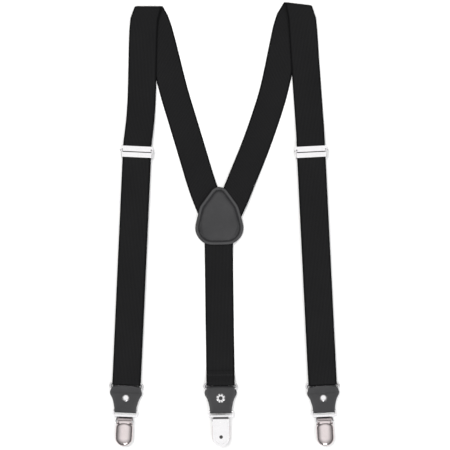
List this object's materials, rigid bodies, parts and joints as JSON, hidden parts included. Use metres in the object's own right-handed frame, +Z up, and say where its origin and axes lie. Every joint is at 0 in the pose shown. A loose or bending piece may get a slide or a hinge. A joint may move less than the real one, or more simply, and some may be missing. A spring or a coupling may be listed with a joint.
{
  "type": "suspenders",
  "caption": "Y-back elastic suspenders with a pear-shaped back patch, sliding adjusters on the front straps and lever clips on leather tabs.",
  "frame": {"origin": "middle of the bounding box in X and Y, on the surface that the suspenders lie on", "axes": "+Y from the clips to the shoulder folds, +Z up from the table, +X to the right of somebody who looks down on it with the clips nearest"},
  "size_m": [0.2037, 0.3922, 0.008],
  "materials": {
    "webbing": "ribbed black elastic webbing",
    "leather": "smooth satin black leather",
    "thread": "waxed black thread",
    "chrome": "bright nickel plate",
    "nickel": "bright nickel plate, a little darker and warmer",
    "pad": "dark grip rubber with cross ridges"
  },
  "bodies": {
    "back_yoke": {"patch_top": "leather", "patch_bottom": "leather", "patch_stitching": "thread", "strap_back_left": "webbing", "strap_back_right": "webbing", "strap_center": "webbing", "strap_fold_left": "webbing", "strap_fold_right": "webbing"},
    "front_left": {"strap_front_left": "webbing", "strap_return_left": "webbing"},
    "adjuster_left": {"slider_frame_left": "chrome", "slider_pin_left": "chrome"},
    "adjuster_lever_left": {"slider_lever_left": "chrome"},
    "front_right": {"strap_front_right": "webbing", "strap_return_right": "webbing"},
    "adjuster_right": {"slider_frame_right": "chrome", "slider_pin_right": "chrome"},
    "adjuster_lever_right": {"slider_lever_right": "chrome"},
    "wire_ring_left": {"ring_left": "chrome"},
    "leather_tab_left": {"tab_left": "leather", "rivet_cap_left": "chrome", "rivet_post_left": "chrome"},
    "clip_left": {"clip_base_left": "chrome", "clip_pin_left": "chrome", "clip_pad_lower_left": "pad"},
    "jaw_left": {"clip_jaw_left": "nickel", "clip_pad_upper_left": "pad"},
    "lever_left": {"clip_lever_left": "nickel"},
    "wire_ring_right": {"ring_right": "chrome"},
    "leather_tab_right": {"tab_right": "leather", "rivet_cap_right": "chrome", "rivet_post_right": "chrome"},
    "clip_right": {"clip_base_right": "chrome", "clip_pin_right": "chrome", "clip_pad_lower_right": "pad"},
    "jaw_right": {"clip_jaw_right": "nickel", "clip_pad_upper_right": "pad"},
    "lever_right": {"clip_lever_right": "nickel"},
    "wire_ring_back": {"ring_back": "chrome"},
    "leather_tab_back": {"tab_back": "leather", "rivet_cap_back": "chrome", "rivet_post_back": "chrome"},
    "clip_back": {"clip_base_back": "chrome", "clip_pin_back": "chrome", "clip_pad_lower_back": "pad"},
    "jaw_back": {"clip_jaw_back": "nickel", "clip_pad_upper_back": "pad"},
    "lever_back": {"clip_lever_back": "nickel"}
  },
  "joints": [
    {"name": "shoulder_fold_left", "type": "hinge", "parent": "back_yoke", "child": "front_left", "pos_m": [-0.0666, 0.1914, 0.0021], "axis": [-1, 0, 0], "range_deg": [0, 180], "deforming": ["strap_fold_left"]},
    {"name": "adjuster_slide_left", "type": "slide", "parent": "front_left", "child": "adjuster_left", "axis": [-0.0454, -0.999, 0], "range_m": [0, 0.16], "deforming": ["strap_return_left"]},
    {"name": "adjuster_lever_left", "type": "hinge", "parent": "adjuster_left", "child": "adjuster_lever_left", "pos_m": [-0.07723, 0.0655, 0.00475], "axis": [-0.999, 0.0454, 0], "range_deg": [0, 80]},
    {"name": "shoulder_fold_right", "type": "hinge", "parent": "back_yoke", "child": "front_right", "pos_m": [0.0645, 0.1936, 0.0021], "axis": [-0.9932, 0.1167, 0], "range_deg": [0, 180], "deforming": ["strap_fold_right"]},
    {"name": "adjuster_slide_right", "type": "slide", "parent": "front_right", "child": "adjuster_right", "axis": [0.0497, -0.9988, 0], "range_m": [0, 0.16], "deforming": ["strap_return_right"]},
    {"name": "adjuster_lever_right", "type": "hinge", "parent": "adjuster_right", "child": "adjuster_lever_right", "pos_m": [0.07638, 0.0655, 0.00475], "axis": [-0.9988, -0.0497, 0], "range_deg": [0, 80]},
    {"name": "ring_swing_left", "type": "hinge", "parent": "front_left", "child": "wire_ring_left", "pos_m": [-0.08655, -0.1398, 0.0021], "axis": [-0.999, 0.0454, 0], "range_deg": [-45, 45]},
    {"name": "tab_swing_left", "type": "hinge", "parent": "wire_ring_left", "child": "leather_tab_left", "pos_m": [-0.08677, -0.1446, 0.0021], "axis": [-0.999, 0.0454, 0], "range_deg": [-45, 8]},
    {"name": "clip_swing_left", "type": "hinge", "parent": "leather_tab_left", "child": "clip_left", "pos_m": [-0.08765, -0.16398, 0.0021], "axis": [-0.999, 0.0454, 0], "range_deg": [-85, 55]},
    {"name": "lever_open_left", "type": "hinge", "parent": "clip_left", "child": "lever_left", "pos_m": [-0.08805, -0.17277, 0.0055], "axis": [-0.999, 0.0454, 0], "range_deg": [0, 100]},
    {"name": "jaw_open_left", "type": "hinge", "parent": "clip_left", "child": "jaw_left", "pos_m": [-0.08798, -0.17137, 0.0027], "axis": [-0.999, 0.0454, 0], "range_deg": [0, 10]},
    {"name": "ring_swing_right", "type": "hinge", "parent": "front_right", "child": "wire_ring_right", "pos_m": [0.0866, -0.1398, 0.0021], "axis": [-0.9988, -0.0497, 0], "range_deg": [-45, 45]},
    {"name": "tab_swing_right", "type": "hinge", "parent": "wire_ring_right", "child": "leather_tab_right", "pos_m": [0.08684, -0.14459, 0.0021], "axis": [-0.9988, -0.0497, 0], "range_deg": [-45, 8]},
    {"name": "clip_swing_right", "type": "hinge", "parent": "leather_tab_right", "child": "clip_right", "pos_m": [0.0878, -0.16397, 0.0021], "axis": [-0.9988, -0.0497, 0], "range_deg": [-85, 55]},
    {"name": "lever_open_right", "type": "hinge", "parent": "clip_right", "child": "lever_right", "pos_m": [0.08824, -0.17276, 0.0055], "axis": [-0.9988, -0.0497, 0], "range_deg": [0, 100]},
    {"name": "jaw_open_right", "type": "hinge", "parent": "clip_right", "child": "jaw_right", "pos_m": [0.08817, -0.17136, 0.0027], "axis": [-0.9988, -0.0497, 0], "range_deg": [0, 10]},
    {"name": "ring_swing_back", "type": "hinge", "parent": "back_yoke", "child": "wire_ring_back", "pos_m": [-0.0035, -0.1398, 0.00345], "axis": [0.9999, 0.0122, 0], "range_deg": [-45, 45]},
    {"name": "tab_swing_back", "type": "hinge", "parent": "wire_ring_back", "child": "leather_tab_back", "pos_m": [-0.00344, -0.1446, 0.00345], "axis": [0.9999, 0.0122, 0], "range_deg": [-45, 8]},
    {"name": "clip_swing_back", "type": "hinge", "parent": "leather_tab_back", "child": "clip_back", "pos_m": [-0.00321, -0.16384, 0.0059], "axis": [0.9999, 0.0122, 0], "range_deg": [-85, 55]},
    {"name": "lever_open_back", "type": "hinge", "parent": "clip_back", "child": "lever_back", "pos_m": [-0.0031, -0.17264, 0.0025], "axis": [0.9999, 0.0122, 0], "range_deg": [0, 100]},
    {"name": "jaw_open_back", "type": "hinge", "parent": "clip_back", "child": "jaw_back", "pos_m": [-0.00312, -0.17124, 0.0053], "axis": [0.9999, 0.0122, 0], "range_deg": [0, 10]}
  ],
  "couplings": [
    {"joint": "jaw_open_left", "follows": "lever_open_left", "ratio": 0.1},
    {"joint": "jaw_open_right", "follows": "lever_open_right", "ratio": 0.1},
    {"joint": "jaw_open_back", "follows": "lever_open_back", "ratio": 0.1}
  ]
}
